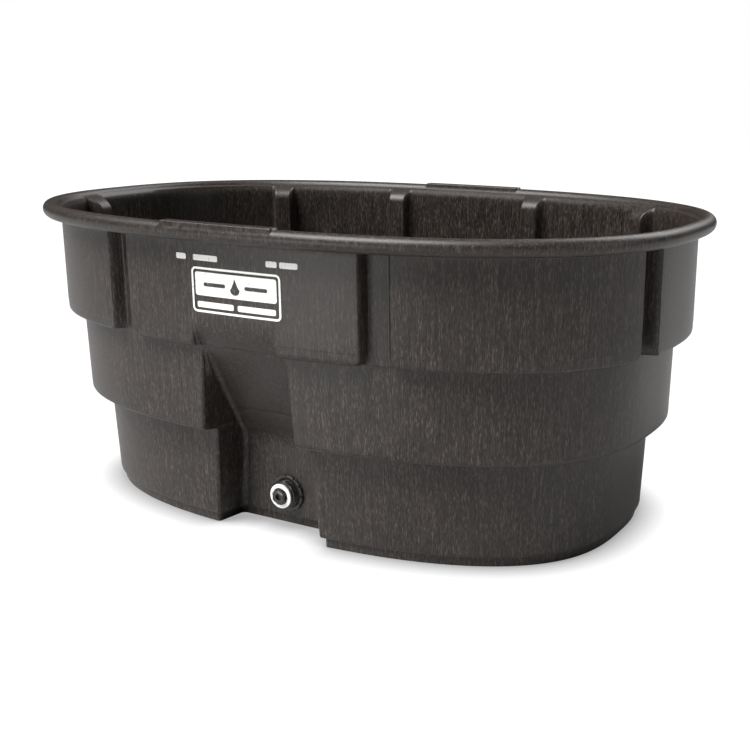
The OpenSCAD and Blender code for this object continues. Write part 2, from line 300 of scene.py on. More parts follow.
def moulded_nylon(settings, name, depth):
    """Injection-moulded nylon: glossy black with a fine spark-eroded texture, depth mm
    deep, that breaks up its highlights."""
    material, tree, shader, place = new_material(name, {"IOR": 1.53})
    base = linear(settings.black)
    speckled, cloudy = (
        add_node(
            tree, "ShaderNodeTexNoise", None,
            {"Vector": place, "Scale": 1 / (size * MM), "Detail": 3.0}).outputs["Fac"]
        for size in (1.1, 18))
    share = add_node(
        tree, "ShaderNodeMapRange", None,
        {"Value": cloudy, "From Min": 0.35, "From Max": 0.65})
    colour = add_node(
        tree, "ShaderNodeMix", {"data_type": "RGBA"},
        {0: share.outputs[0], 6: shade_of(base, 0.75), 7: shade_of(base, 1.35)})
    tree.links.new(colour.outputs[2], shader.inputs["Base Color"])
    dull = add_node(
        tree, "ShaderNodeMapRange", None,
        {"Value": speckled, "From Min": 0.3, "From Max": 0.7, "To Min": 0.2, "To Max": 0.34})
    tree.links.new(dull.outputs[0], shader.inputs["Roughness"])
    relief = add_node(
        tree, "ShaderNodeBump", None,
        {"Height": speckled, "Strength": 0.5, "Distance": depth * MM})
    tree.links.new(relief.outputs[0], shader.inputs["Normal"])
    return material


def marked_plain(name, code, size_mm, finish, from_to, share, factor, depth):
    """Plain material in one colour, with marks of about size_mm in a second tone, which is
    the colour times factor, and their relief, depth mm deep."""
    material, tree, shader, place = new_material(name, finish)
    base = linear(code)
    marks = add_node(
        tree, "ShaderNodeTexNoise", None,
        {"Vector": place, "Scale": 1 / (size_mm * MM), "Detail": 3.0}).outputs["Fac"]
    patches = add_node(
        tree, "ShaderNodeMapRange", None,
        {"Value": marks, "From Min": from_to[0], "From Max": from_to[1], "To Max": share})
    colour = add_node(
        tree, "ShaderNodeMix", {"data_type": "RGBA"},
        {0: patches.outputs[0], 6: base, 7: shade_of(base, factor)})
    tree.links.new(colour.outputs[2], shader.inputs["Base Color"])
    relief = add_node(
        tree, "ShaderNodeBump", None,
        {"Height": marks, "Strength": 0.4, "Distance": depth * MM})
    tree.links.new(relief.outputs[0], shader.inputs["Normal"])
    return material


def pressed_rubber(name, code):
    """Pressed sheet rubber or soft sheet: flat grey-black with a dusty bloom."""
    return marked_plain(
        name, code, 7, {"Roughness": 0.72, "IOR": 1.52}, (0.4, 0.75), 1.0, 2.2, 0.2)


def white_acetal(settings):
    """Moulded white seal: bright and slightly glossy, with faint grey handling marks."""
    return marked_plain(
        "moulded_white_acetal", settings.white, 6, {"Roughness": 0.32, "IOR": 1.48},
        (0.56, 0.76), 0.5, 0.62, 0.03)


def stamped_foil(name, code, ground):
    """Hot-stamped foil: even colour that skips over the deepest streaks of the skin,
    so that the tank shows through in small flecks."""
    material, tree, shader, place = new_material(name, {"Roughness": 0.5, "IOR": 1.5})
    along = add_node(
        tree, "ShaderNodeMapping", {"vector_type": "TEXTURE"},
        {"Vector": place, "Scale": (1.6 * MM, 1.6 * MM, 9 * MM)})
    skips = add_node(
        tree, "ShaderNodeTexNoise", None,
        {"Vector": along.outputs[0], "Scale": 1.0, "Detail": 2.0}).outputs["Fac"]
    flecks = add_node(
        tree, "ShaderNodeMapRange", None,
        {"Value": skips, "From Min": 0.66, "From Max": 0.72, "To Max": 0.8})
    colour = add_node(
        tree, "ShaderNodeMix", {"data_type": "RGBA"},
        {0: flecks.outputs[0], 6: linear(code), 7: linear(ground)})
    tree.links.new(colour.outputs[2], shader.inputs["Base Color"])
    relief = add_node(
        tree, "ShaderNodeBump", None,
        {"Height": skips, "Strength": 0.4, "Distance": 0.15 * MM})
    tree.links.new(relief.outputs[0], shader.inputs["Normal"])
    return material


def seamless_paper():
    """Pale studio paper: matt, white to the camera from its glow and its lights, with a painted
    soft shadow where the trough stands on it. It gives back less light than it shows."""
    material, tree, shader, place = new_material(
        "seamless_studio_paper", {"Roughness": 0.9, "Specular IOR Level": 0.1})
    tooth = add_node(
        tree, "ShaderNodeTexNoise", None, {"Vector": place, "Scale": 25.0}).outputs["Fac"]
    shown = add_node(
        tree, "ShaderNodeMix", {"data_type": "RGBA"},
        {0: tooth, 6: grey(PAPER_SHOWN), 7: grey(PAPER_SHOWN * 1.05)})
    path = add_node(tree, "ShaderNodeLightPath")
    colour = add_node(
        tree, "ShaderNodeMix", {"data_type": "RGBA"},
        {0: path.outputs["Is Camera Ray"], 6: grey(PAPER_GIVEN), 7: shown.outputs[2]})
    tree.links.new(colour.outputs[2], shader.inputs["Base Color"])
    # painted shadow: ambient occlusion dims the paper's camera-only glow close to the trough
    near = add_node(
        tree, "ShaderNodeAmbientOcclusion", {"samples": 16}, {"Distance": PAINTED_SHADOW_REACH * MM})
    painted_shadow_strength = add_node(
        tree, "ShaderNodeMapRange", None,
        {"Value": near.outputs["AO"], "From Min": 0.45, "From Max": 0.95, "To Min": 0.4})
    # the glow the camera sees on the paper, with the painted soft shadow in it
    glow_with_painted_shadow = add_node(
        tree, "ShaderNodeMath", {"operation": "MULTIPLY"},
        {0: path.outputs["Is Camera Ray"], 1: painted_shadow_strength.outputs[0]})
    shader.inputs["Emission Color"].default_value = grey(1.0)
    tree.links.new(glow_with_painted_shadow.outputs[0], shader.inputs["Emission Strength"])
    return material


# ---------- tank ----------

# Insets are measured from the rim outline, heights from the ground
WALL = 8.0
FLOOR = 12.0
BLOCK_INSET, BLOCK_SIDE, MID_INSET, LOW_INSET, FOOT_INSET = 34.0, 11.0, 72.0, 119.0, 132.0
BLOCK_Z, MID_Z, FOOT_H = 394.0, 215.0, 20.0
DRAFT = 4.0
BEAD_R, PAD_H, PAD_WIDE, PAD_HALF = 16.0, 3.0, 25.0, 128.0
RIB_HALF, RIB_SIDE = 32.0, 11.0
RIBS_X = ((308.0, True), (192.0, False), (520.0, False))    # distance, and if it is in front
END_RIB_Y = 125.0
RECESS_TOP, RECESS_FOOT, RECESS_Y, RECESS_BEND_Z = 94.0, 122.0, 300.0, 182.0
RECESS_TOP_Z = BLOCK_Z - 2
FOOT_STEP = 8.0          # how much further back the foot stands round the recess
SIDE_SPLAY = 3.0         # lean of the recess sides, each way from their middle
CORNER_OUT, CORNER_IN = 7.0, 12.0
FRONT_ZONE = 205.0       # half width of the stretch of wall that holds the recess
COLUMN_GAP = 22.0        # widest gap between two columns of the mesh
RING_GAP = 24.0          # widest gap between two rings of the mesh
DRAIN_HOLE_R = 30.3
TANK_SMOOTH_ANGLE = 38.0


class TankShape:
    """Rings of points that make up the moulding. A ring is [block inset, rib inset, z, side
    share, bend]: what the insets are on the blocks and in the rib grooves, how much more
    the long sides stand in, and how far its bend is rounded."""

    def __init__(self, settings):
        self.settings = settings
        self.a = settings.length / 2
        self.b = settings.width / 2
        self.power = settings.oval_power
        self.top = settings.height - PAD_H
        self.bead_z = self.top - BEAD_R
        self.rib_turns = self.find_ribs()
        self.turns = self.place_columns()
        self.rib_gap = self.nearest_rib(self.turns)
        self.zone = self.front_shares()

    # -- outline

    def rim(self, turn):
        """Point and outward normal of the rim outline in a direction in radians."""
        c, s = np.cos(turn), np.sin(turn)
        reach = ((np.abs(c) / self.a) ** self.power
                 + (np.abs(s) / self.b) ** self.power) ** (-1 / self.power)
        x, y = reach * c, reach * s
        nx = np.sign(x) * np.abs(x / self.a) ** (self.power - 1) / self.a
        ny = np.sign(y) * np.abs(y / self.b) ** (self.power - 1) / self.b
        size = np.hypot(nx, ny)
        return x, y, nx / size, ny / size

    def turn_at_x(self, x, front):
        """Direction of the outline point with that x on the front or the back."""
        y = self.b * (1 - (np.abs(x) / self.a) ** self.power) ** (1 / self.power)
        return np.arctan2(-y if front else y, x)

    def turn_at_y(self, y, right):
        """Direction of the outline point with that y on the right or the left end."""
        x = self.a * (1 - (np.abs(y) / self.b) ** self.power) ** (1 / self.power)
        return np.arctan2(y, x if right else -x)

    def turn_per_mm(self, turn):
        """Radians of direction for one millimetre along the outline."""
        x, y, nx, ny = self.rim(turn)
        return (x * nx + y * ny) / (x * x + y * y)

    def inset_point(self, turn, inset, side):
        """Point at a true distance inside the rim outline."""
        x, y, nx, ny = self.rim(turn)
        depth = inset + side * BLOCK_SIDE * ny ** 4
        return x - nx * depth, y - ny * depth

    # -- columns

    def find_ribs(self):
        """Directions of the eight rib grooves."""
        turns = [self.turn_at_x(sign * x, front) for x, front in RIBS_X for sign in (-1, 1)]
        turns += [self.turn_at_y(-END_RIB_Y, right) for right in (True, False)]
        return np.array(turns)

    def place_columns(self):
        """Directions of the columns outside the front zone, from its right end round the back."""
        start = self.turn_at_x(FRONT_ZONE, True)
        stop = self.turn_at_x(-FRONT_ZONE, True) % (2 * math.pi)
        across = np.array([0, 7, 13, 16, 18, 20, 21.5, 23, 25, 27, 29, 31, 33, 36, 40, 45, 51])
        across = np.concatenate([-across[:0:-1], across])
        exact = [turn + across * self.turn_per_mm(turn) for turn in self.rib_turns]
        pad_stops = np.array([0, 60, 112, 122, 126.2, 127.4, 128.6, 129.8, 134])
        exact += [self.turn_at_x(sign * pad_stops, False) for sign in (-1, 1)]
        exact.append(np.array([start, stop, 0.0, math.pi / 2, math.pi]))
        exact = (np.concatenate(exact) - start) % (2 * math.pi)
        exact = np.unique(np.round(exact[exact <= stop - start + 1e-9], 6))
        turns = [exact[0]]
        for turn in exact[1:]:
            gap = (turn - turns[-1]) / self.turn_per_mm(turn + start)
            if gap < 0.7:
                continue
            pieces = max(1, int(math.ceil(gap / COLUMN_GAP)))
            turns += list(np.linspace(turns[-1], turn, pieces + 1)[1:])
        return np.array(turns) + start

    def nearest_rib(self, turns):
        """Distance along the outline from each column to its nearest rib axis, in mm."""
        best = np.full(len(turns), 1e9)
        for rib in self.rib_turns:
            away = (turns - rib + math.pi) % (2 * math.pi) - math.pi
            best = np.minimum(best, np.abs(away) / self.turn_per_mm(rib))
        return best

    def front_shares(self):
        """Columns of the right half of the front zone, from its end to the middle.
        Each is [kind, share]: 0 the shoulder, 1 the outer corner, 2 the side, 3 the inner
        corner, 4 the back wall."""
        edge = RECESS_TOP + SIDE_SPLAY + CORNER_OUT
        stops = np.array([190, 172, 155, 142, 134, 129.8, 128.6, 127.4, 126.2, 120, 112])
        shoulder = [(0, (x - edge) / (FRONT_ZONE - edge)) for x in stops]
        corner = [(1, t) for t in np.linspace(0, 1, 6)]
        side = [(2, t) for t in np.linspace(0, 1, 9)[1:-1]]
        inner = [(3, t) for t in np.linspace(0, 1, 7)]
        back = [(4, t) for t in np.linspace(0, 1, 10)[1:]]
        return np.array(shoulder + corner + side + inner + back)

    # -- recess

    def recess_half(self, z, grow):
        """Half width of the recess at a height."""
        if z < FOOT_H + (grow if grow else 0.4):
            return RECESS_FOOT + FOOT_STEP + grow
        share = np.clip((z - FOOT_H) / (RECESS_TOP_Z - FOOT_H), 0, 1)
        return RECESS_FOOT + (RECESS_TOP - RECESS_FOOT) * share + grow

    def recess_wall(self, z, grow):
        """Y of the recess wall at a height: upright, then a slope out to the front wall."""
        if z < FOOT_H + (grow if grow else 0.4):
            return -RECESS_Y + FOOT_STEP + grow
        top_y = self.b - MID_INSET + DRAFT / 2 + 1
        lift = 1.6 * grow
        bend = RECESS_BEND_Z + grow / 2
        slope = (top_y - RECESS_Y + grow) / (RECESS_TOP_Z + lift - bend)
        rise = z - bend
        round_r = 16.0
        eased = rise if rise > round_r else max(0.0, rise + round_r) ** 2 / (4 * round_r)
        crease = 1.6 * math.exp(-((z - 246) / 2.2) ** 2) if grow == 0 else 0.0
        return -RECESS_Y + grow - slope * max(0.0, eased) + crease

    def front_half(self, ring, grow):
        """Points of the right half of the front zone on one ring."""
        inset, z, side = ring[0], ring[2], ring[3]
        half = self.recess_half(z, grow)
        out_x, in_x = half + SIDE_SPLAY, half - SIDE_SPLAY
        kind, share = self.zone[:, 0], self.zone[:, 1]
        end_x = self.inset_point(self.turn_at_x(FRONT_ZONE, True), inset, side)[0]
        corner_y = self.front_y(np.array([half]), inset, side)[0]
        deep = max(0.0, self.recess_wall(z, grow) - corner_y)
        r_out = min(CORNER_OUT, 0.4 * deep)
        r_in = min(CORNER_IN, 0.45 * deep)
        angle = share * math.pi / 2
        edge = out_x + CORNER_OUT
        x = np.select(
            [kind == 0, kind == 1, kind == 2, kind == 3],
            [edge + (end_x - edge) * share,
             out_x + CORNER_OUT * (1 - np.sin(angle)),
             out_x + (in_x - out_x) * share,
             in_x - CORNER_IN * (1 - np.cos(angle))],
            (in_x - CORNER_IN) * (1 - share))
        down = np.select(
            [kind == 0, kind == 1, kind == 2, kind == 3],
            [0 * share, r_out * (1 - np.cos(angle)),
             r_out + (deep - r_out - r_in) * share,
             deep - r_in * (1 - np.sin(angle))], deep)
        front = self.front_y(x, inset, side)
        flat = np.where(kind >= 1, ease((kind - 1 + share) / 2), 0) * min(1.0, deep / 20)
        return x, front + (corner_y - front) * flat + down

    def front_y(self, x, inset, side):
        """Y of the front wall at x on the surface with that inset."""
        rim_x = np.array(x, float)
        for _ in range(4):
            found = self.inset_point(self.turn_at_x(rim_x, True), inset, side)[0]
            rim_x = rim_x + (x - found)
        return self.inset_point(self.turn_at_x(rim_x, True), inset, side)[1]

    # -- rings

    def groove(self, z, inner):
        """How much of the rib inset each column takes, with rounded block corners."""
        corner = self.settings.rib_corner
        above = z - BLOCK_Z
        wider = 0.0
        if not inner and above < corner:
            wider = corner - math.sqrt(corner ** 2 - (corner - max(0.0, above)) ** 2)
        return ease((RIB_HALF + 1 + wider - self.rib_gap) / (RIB_SIDE + 2))

    def ring_points(self, ring, inner, grow):
        """Closed loop of points of one ring."""
        share = self.groove(ring[2], inner)
        inset = ring[0] + (ring[1] - ring[0]) * share
        x, y = self.inset_point(self.turns, inset, ring[3] * (1 - share))
        half_x, half_y = self.front_half(ring, grow)
        x = np.concatenate([x, -half_x[:-1], half_x[::-1]])
        y = np.concatenate([y, half_y[:-1], half_y[::-1]])
        return np.stack([x, y, np.full(len(x), float(ring[2]))], 1)

    def bead_loop(self):
        """Rings of the rolled rim bead, from under its inner side over its top."""
        loops = []
        columns = np.concatenate([self.turns, self.zone_turns()])
        x, y, nx, ny = self.rim(columns)
        pad = ease((PAD_HALF + 1.6 - np.abs(x)) / 2.6) * (np.abs(ny) > 0.9)
        for angle in np.radians(np.arange(-20, -341, -10)):
            inset = BEAD_R * (1 + math.cos(angle))
            z = self.bead_z + BEAD_R * math.sin(angle)
            pad_inset, pad_z = self.pad_point(-math.degrees(angle))
            depth = inset + (pad_inset - inset) * pad
            loops.append(np.stack([
                x - nx * depth, y - ny * depth, z + (pad_z - z) * pad], 1))
        return loops

    def zone_turns(self):
        """Directions of the front zone's columns at the rim, from left to right."""
        half_x = self.front_half((0.0, 0.0, self.top, 0.0), 0.0)[0]
        return self.turn_at_x(np.concatenate([-half_x[:-1], half_x[::-1]]), True)

    def pad_point(self, angle):
        """Where the bead's point at that angle, 180 outermost, lies on a grip pad."""
        start, stop, corner = 215.0, 325.0, 2.5
        centre = (BEAD_R * (1 + math.cos(math.radians(angle))),
                  self.bead_z - BEAD_R * math.sin(math.radians(angle)))
        if angle <= start or angle >= stop:
            return centre
        near, far = BEAD_R - PAD_WIDE / 2, BEAD_R + PAD_WIDE / 2
        high = self.top + PAD_H
        low = self.bead_z + 9
        path = [(near, low), (near, high - corner), (near + corner * 0.3, high - corner * 0.3),
                (near + corner, high), (BEAD_R, high), (far - corner, high),
                (far - corner * 0.3, high - corner * 0.3), (far, high - corner), (far, low)]
        place = (angle - start) / (stop - start) * 8
        index = min(7, int(place))
        share = place - index
        return tuple(p + (q - p) * share for p, q in zip(path[index], path[index + 1]))


def soften(rings, steps=4):
    """Rounds each bend of a profile of rings, by the length in the ring's last place."""
    rings = [np.array(r, float) for r in rings]
    made = [rings[0]]
    for before, here, after in zip(rings, rings[1:], rings[2:]):
        reach_in = np.linalg.norm((here - before)[[0, 2]]) + 1e-6
        reach_out = np.linalg.norm((after - here)[[0, 2]]) + 1e-6
        start = here + (before - here) * min(0.45, here[4] / reach_in)
        end = here + (after - here) * min(0.45, here[4] / reach_out)
        for t in np.linspace(0, 1, steps + 1):
            made.append((1 - t) ** 2 * start + 2 * t * (1 - t) * here + t * t * end)
    made.append(rings[-1])
    return made


def divide(rings, longest, fine_from, fine_to, fine):
    """Adds rings so that none are further apart than longest, or fine in a stretch."""
    made = [rings[0]]
    for before, here in zip(rings, rings[1:]):
        low, high = sorted((before[2], here[2]))
        limit = fine if high > fine_from and low < fine_to else longest
        count = max(1, int(math.ceil((high - low) / limit)))
        made += [before + (here - before) * k / count for k in range(1, count + 1)]
    return made


def plain(inset, z, bend=6.5):
    """Ring with no rib grooves."""
    return [inset, inset, z, 0.0, bend]


def outer_profile(bead_z):
    """Rings of the outside, from the foot up to the bead."""
    rib = MID_INSET - DRAFT / 2 - 1
    return soften([
        plain(FOOT_INSET, 0), plain(FOOT_INSET - 1, FOOT_H - 0.5, 0.5),
        plain(LOW_INSET + DRAFT, FOOT_H + 0.6, 5), plain(LOW_INSET + DRAFT - 0.4, FOOT_H + 14),
        plain(LOW_INSET - DRAFT, MID_Z - 6, 7), plain(MID_INSET + DRAFT / 2, MID_Z, 9),
        plain(MID_INSET - DRAFT / 2, BLOCK_Z - 0.8, 5),
        [BLOCK_INSET + 0.4, rib, BLOCK_Z, 1.0, 12],
        [BLOCK_INSET + 0.3, rib, BLOCK_Z + 22, 1.0, 0.2],
        [BLOCK_INSET - 0.2, rib, BLOCK_Z + 22.8, 1.0, 0.3],
        [BLOCK_INSET - 0.5, rib, bead_z - 20, 1.0, 8],
        [BLOCK_INSET - 2, rib - 12, bead_z - 8, 0.4, 6]])


def inner_profile(bead_z):
    """Rings of the inside, from the bead down to the floor."""
    def ledge(block, rib, z):
        return [BLOCK_INSET + block, MID_INSET + rib, z, 1.0, 7]
    return soften([
        ledge(WALL - 5, -28, bead_z + 2), ledge(WALL - 1, -6, bead_z - 8),
        ledge(WALL, WALL - 4, bead_z - 22), ledge(WALL + 1, WALL - 2, BLOCK_Z + 22),
        ledge(WALL + 6, WALL - 2, BLOCK_Z + 11),
        plain(MID_INSET + WALL - DRAFT / 2 - 4, BLOCK_Z + 7),
        plain(MID_INSET + WALL - DRAFT / 2, BLOCK_Z - 2),
        plain(MID_INSET + WALL + DRAFT / 2, MID_Z + 18),
        plain(MID_INSET + WALL + 7, MID_Z + 9),
        plain(LOW_INSET + WALL - DRAFT - 5, MID_Z + 4),
        plain(LOW_INSET + WALL - DRAFT, MID_Z - 5),
        plain(LOW_INSET + WALL + DRAFT, FOOT_H + 38),
        plain(LOW_INSET + WALL + DRAFT + 8, FOOT_H + 16),
        plain(LOW_INSET + WALL + DRAFT + 26, FLOOR)])


def tank_rings(shape):
    """All rings of points of the moulding, from under the foot over the rim to the floor."""
    outer = divide(outer_profile(shape.bead_z), RING_GAP, 160, 262, 4)
    loops = [shape.ring_points(r, False, 0.0) for r in outer]
    loops += shape.bead_loop()
    inner = divide(inner_profile(shape.bead_z), RING_GAP, 160, 215, 8)
    loops += [shape.ring_points(r, True, WALL) for r in inner]
    return loops


def cut_drain_hole(piece, axis_z):
    """Cuts the drain hole through the recess wall."""
    bpy.ops.mesh.primitive_cylinder_add(
        vertices=96, radius=DRAIN_HOLE_R * MM, depth=(WALL + 24) * MM,
        location=(0, (-RECESS_Y + WALL / 2) * MM, axis_z * MM),
        rotation=(math.pi / 2, 0, 0))
    cutter = bpy.context.object
    cut = piece.modifiers.new("drain hole", "BOOLEAN")
    cut.operation = "DIFFERENCE"
    cut.object = cutter
    cut.solver = "EXACT"
    graph = bpy.context.evaluated_depsgraph_get()
    done = bpy.data.meshes.new_from_object(piece.evaluated_get(graph))
    piece.modifiers.clear()
    piece.data = done
    bpy.data.objects.remove(cutter)


class TROUGH_OT_tank(bpy.types.Operator):
    """Builds the one-piece moulded tank with its rim, ribs and drain recess."""

    bl_idname = "trough.tank"
    bl_label = "Moulded tank"

    def execute(self, context):
        settings = context.scene.trough_tank
        shape = TankShape(settings)
        loops = tank_rings(shape)
        columns = len(loops[0])
        faces = grid_faces(len(loops), columns, False)
        last = (len(loops) - 1) * columns
        faces.append(tuple(range(columns - 1, -1, -1)))
        faces.append(tuple(last + i for i in range(columns)))
        tank = build_mesh(
            "tank_moulding", np.concatenate(loops), faces, foam_polyethylene(settings))
        cut_drain_hole(tank, context.scene.trough_fitting.axis_z)
        shade(tank, TANK_SMOOTH_ANGLE)
        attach(tank, "tank")
        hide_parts("tank_body")
        return {"FINISHED"}


# ---------- drain fitting ----------

# Distances along the drain axis, out of the outer face of the recess wall
INSIDE = WALL + 3 + 6
SPOUT_OUT = 24.0
SPOUT_R, ROOT_R, BORE_R = 30.0, 27.6, 17.0
WASHER_T, NUT_T, SEAL_T = 2.0, 5.0, 3.0
NUT_R, FLANGE_R, SEAL_R = 39.0, 40.0, 25.5


def turned(name, profile, axis_z, material, body, node, radius_at=None, sides=96):
    """Piece turned about the drain axis from a closed profile of [out, radius] points.
    radius_at(radius, out, angle, index) may change the radius round the axis."""
    angles = np.linspace(0, 2 * math.pi, sides, endpoint=False)
    loops = []
    for index, (out, radius) in enumerate(profile):
        reach = np.full(sides, float(radius))
        if radius_at is not None:
            reach = radius_at(reach, out, angles, index)
        loops.append(np.stack([
            reach * np.cos(angles), np.full(sides, -RECESS_Y - out),
            axis_z + reach * np.sin(angles)], 1))
    closed = profile[0][1] > 0
    faces = grid_faces(len(loops), sides, closed)
    if not closed:
        faces = grid_faces(len(loops) - 2, sides, False)
        faces = [tuple(v + 1 for v in face) for face in faces]
        last = (len(loops) - 2) * sides + 1
        faces += [(0, 1 + (i + 1) % sides, 1 + i) for i in range(sides)]
        faces += [(last, last - sides + i, last - sides + (i + 1) % sides)
                  for i in range(sides)]
        points = np.concatenate([loops[0][:1], *loops[1:-1], loops[-1][:1]])
    else:
        points = np.concatenate(loops)
    piece = build_mesh(name, points, faces, material)
    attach(piece, body)
    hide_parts(node)
    return piece


def rounded_ring(out_from, out_to, inner, outer, edge):
    """Closed profile of a flat ring with rounded edges."""
    corners = ((out_from + edge, inner + edge), (out_from + edge, outer - edge),
               (out_to - edge, outer - edge), (out_to - edge, inner + edge))
    profile = []
    for k, (out, radius) in enumerate(corners):
        for turn in np.radians([270 - 90 * k, 240 - 90 * k, 210 - 90 * k, 180 - 90 * k]):
            profile.append((out + edge * math.cos(turn), radius + edge * math.sin(turn)))
    return profile


def spout_profile():
    """Closed profile of the spout: its bore, nose, thread, barrel and inner flange."""
    thread_from = WASHER_T + NUT_T + 0.5
    thread_to = SPOUT_OUT - 2.5
    nose = [(-INSIDE + 0.8, BORE_R), (SPOUT_OUT - 0.8, BORE_R), (SPOUT_OUT, BORE_R + 0.8),
            (SPOUT_OUT, ROOT_R - 1), (SPOUT_OUT - 0.3, ROOT_R - 0.3), (SPOUT_OUT - 1, ROOT_R)]
    thread = [(out, ROOT_R) for out in np.linspace(thread_to + 0.8, thread_from, 56)]
    barrel = [(thread_from - 0.4, SPOUT_R - 0.2), (thread_from - 0.6, SPOUT_R),
              (-WALL - 3, SPOUT_R), (-WALL - 3, FLANGE_R - 0.8), (-WALL - 3.8, FLANGE_R),
              (-INSIDE + 1, FLANGE_R), (-INSIDE, FLANGE_R - 1), (-INSIDE, BORE_R + 0.8)]
    return nose + thread + barrel, len(nose), len(nose) + len(thread)


class TROUGH_OT_drain_fitting(bpy.types.Operator):
    """Builds the spout, its gasket, slip washer and locknut in the recess wall."""

    bl_idname = "trough.drain_fitting"
    bl_label = "Drain fitting"

    def execute(self, context):
        settings = context.scene.trough_fitting
        axis_z = settings.axis_z
        pitch = settings.thread_pitch
        nylon = moulded_nylon(settings, "moulded_black_nylon", 0.12)
        profile, first, last = spout_profile()

        def helix(reach, out, angles, index):
            if not first <= index < last:
                return reach
            phase = (out / pitch - angles / (2 * math.pi)) % 1.0
            crest = np.clip(1.6 - 4.2 * np.abs(phase - 0.5), 0, 1)
            run = min(1.0, (index - first) / 8, (last - 1 - index) / 4)
            return reach + (SPOUT_R - ROOT_R) * crest * run

        turned("threaded_spout", profile, axis_z, nylon, "tank", "drain_spout",
               helix)
        turned("pressed_gasket",
               rounded_ring(-WALL - 3, -WALL, SPOUT_R + 0.3, FLANGE_R - 2, 0.4), axis_z,
               pressed_rubber("pressed_rubber", "1b1a19"), "tank", "spout_gasket")
        turned("die_cut_washer",
               rounded_ring(0, WASHER_T, SPOUT_R + 0.3, NUT_R - 1, 0.3), axis_z,
               pressed_rubber("die_cut_polyethylene", "4a4742"), "tank", "slip_washer")
        notch_r, notch_at = 3.5, NUT_R + 1.5

        def notched(reach, out, angles, index):
            step = 2 * math.pi / settings.notches
            off = (angles + step / 2) % step - step / 2
            inside = np.clip(notch_r ** 2 - (notch_at * np.sin(off)) ** 2, 0, None)
            notch = notch_at * np.cos(off) - np.sqrt(inside)
            deep = (notch_at * np.abs(np.sin(off)) < notch_r) & (reach > SPOUT_R + 4)
            return np.where(deep, np.minimum(reach, notch), reach)

        turned("notched_locknut",
               rounded_ring(WASHER_T, WASHER_T + NUT_T, SPOUT_R + 0.3, NUT_R, 0.9), axis_z,
               nylon, "tank", "spout_locknut", notched, 288)
        return {"FINISHED"}


class TROUGH_OT_plug(bpy.types.Operator):
    """Builds the screw plug with its hexagonal head and the white seal under it."""

    bl_idname = "trough.plug"
    bl_label = "Screw plug"

    def execute(self, context):
        settings = context.scene.trough_fitting
        axis_z = settings.axis_z
        turned("white_seal_ring",
               rounded_ring(SPOUT_OUT, SPOUT_OUT + SEAL_T, BORE_R - 0.5, SEAL_R, 0.8), axis_z,
               white_acetal(settings), "plug_seal", "plug_seal")
        base = SPOUT_OUT + SEAL_T
        top = base + 8
        head, socket, socket_deep = 14.0, 6.0, 6.0
        profile = [(8, 0), (8, 15.0), (9, 16.0), (base, 16.0), (base, 17.7), (base + 0.4, 18.0),
                   (base + 1.1, 18.0), (base + 1.5, 17.6), (base + 1.5, head),
                   (top - 1.2, head), (top - 0.4, head * 0.985), (top, head * 0.94),
                   (top, socket * 1.12), (top - 0.7, socket), (top - socket_deep, socket),
                   (top - socket_deep, 0)]

        def hexagonal(reach, out, angles, index):
            step = math.pi / 3
            off = (angles + step / 2) % step - step / 2
            six = reach / np.cos(off)
            if 8 <= index <= 11:
                round_off = {8: 16.1, 9: 16.1, 10: 15.6, 11: 14.6}[index]
                return np.minimum(six, round_off)
            return six if index >= 12 and reach[0] > 0 else reach

        turned("screw_plug", profile, axis_z,
               moulded_nylon(settings, "moulded_plug_nylon", 0.08), "drain_plug",
               "drain_plug", hexagonal, 144)
        return {"FINISHED"}


# ---------- label ----------

class TROUGH_OT_label(bpy.types.Operator):
    """Gives the stamped label and the capacity bars their foil."""

    bl_idname = "trough.label"
    bl_label = "Stamped label"

    def execute(self, context):
        white = context.scene.trough_fitting.white
        dark = context.scene.trough_tank.colour
        light_foil = stamped_foil("hot_stamped_white_foil", white, dark)
        dark_foil = stamped_foil("hot_stamped_dark_foil", "23211f", white)
        for name, foil in (
                ("label_frame", light_foil), ("label_field", light_foil),
                ("capacity_marks", light_foil), ("label_pictogram", dark_foil)):
            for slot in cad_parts[name].material_slots:
                slot.link = "OBJECT"
                slot.material = foil
        return {"FINISHED"}


# ---------- studio ----------

def softbox(name, place, aim, size, power, spread):
    """Rectangular area light that points at a place, with a grid that limits its spread."""
    lamp = bpy.data.lights.new(name, "AREA")
    lamp.shape = "RECTANGLE"
    lamp.size, lamp.size_y = size
    lamp.energy = power
    lamp.spread = math.radians(spread)
    made = bpy.data.objects.new(name, lamp)
    made.location = place
    made.rotation_euler = (Vector(aim) - Vector(place)).to_track_quat("-Z", "Y").to_euler()
    bpy.context.scene.collection.objects.link(made)


def paper_floor(material):
    """Wide flat sheet of paper, in metres, that the trough stands on."""
    half, sides = 14.0, 8
    mesh = bpy.data.meshes.new("studio_floor")
    points = [(x, y, 0.0) for y in np.linspace(-half, half, sides)
              for x in np.linspace(-half, half, sides)]
    faces = [(r * sides + c, r * sides + c + 1, (r + 1) * sides + c + 1, (r + 1) * sides + c)
             for r in range(sides - 1) for c in range(sides - 1)]
    mesh.from_pydata(points, [], faces)
    mesh.materials.append(material)
    floor = bpy.data.objects.new("studio_floor", mesh)
    bpy.context.scene.collection.objects.link(floor)


def place_camera(settings):
    """Camera at the chosen angle, looking down its line of sight."""
    data = bpy.data.cameras.new("studio_camera")
    data.sensor_width = 36.0
    data.lens = settings.lens
    data.shift_x, data.shift_y = settings.shift
    camera = bpy.data.objects.new("studio_camera", data)
    around, up = settings.azimuth, settings.elevation
    back = Vector((math.sin(around) * math.cos(up), -math.cos(around) * math.cos(up),
                   math.sin(up)))
    camera.location = settings.place
    turn = (-back).to_track_quat("-Z", "Y").to_matrix().to_4x4()
    camera.rotation_euler = (turn @ Euler((0, 0, settings.roll)).to_matrix().to_4x4()).to_euler()
    bpy.context.scene.collection.objects.link(camera)
    bpy.context.scene.camera = camera


